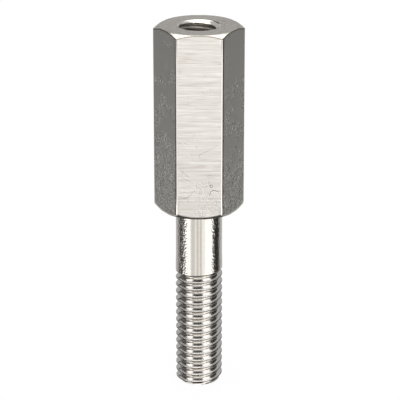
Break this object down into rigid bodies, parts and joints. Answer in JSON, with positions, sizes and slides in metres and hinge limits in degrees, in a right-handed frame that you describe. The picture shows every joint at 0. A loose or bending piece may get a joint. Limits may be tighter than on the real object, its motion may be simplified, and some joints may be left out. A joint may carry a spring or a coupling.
{
  "type": "hex standoff",
  "caption": "Hexagonal metal standoff with a countersunk tapped hole in its top face and a threaded stud with a plain shank below its shoulder.",
  "frame": {"origin": "on the axis, in the plane of the shoulder that seats on a panel", "axes": "+Z along the axis, from the stud towards the tapped hole; -Y is the normal of one of the six flats, and +X points at an edge of the hexagon"},
  "size_m": [0.0092, 0.008, 0.0383],
  "materials": {
    "stainless_steel": "drawn hexagonal bar in stainless steel with fine cross brushing on the flats and a turned, bright stud"
  },
  "bodies": {
    "root": {"standoff": "stainless_steel"}
  },
  "joints": []
}
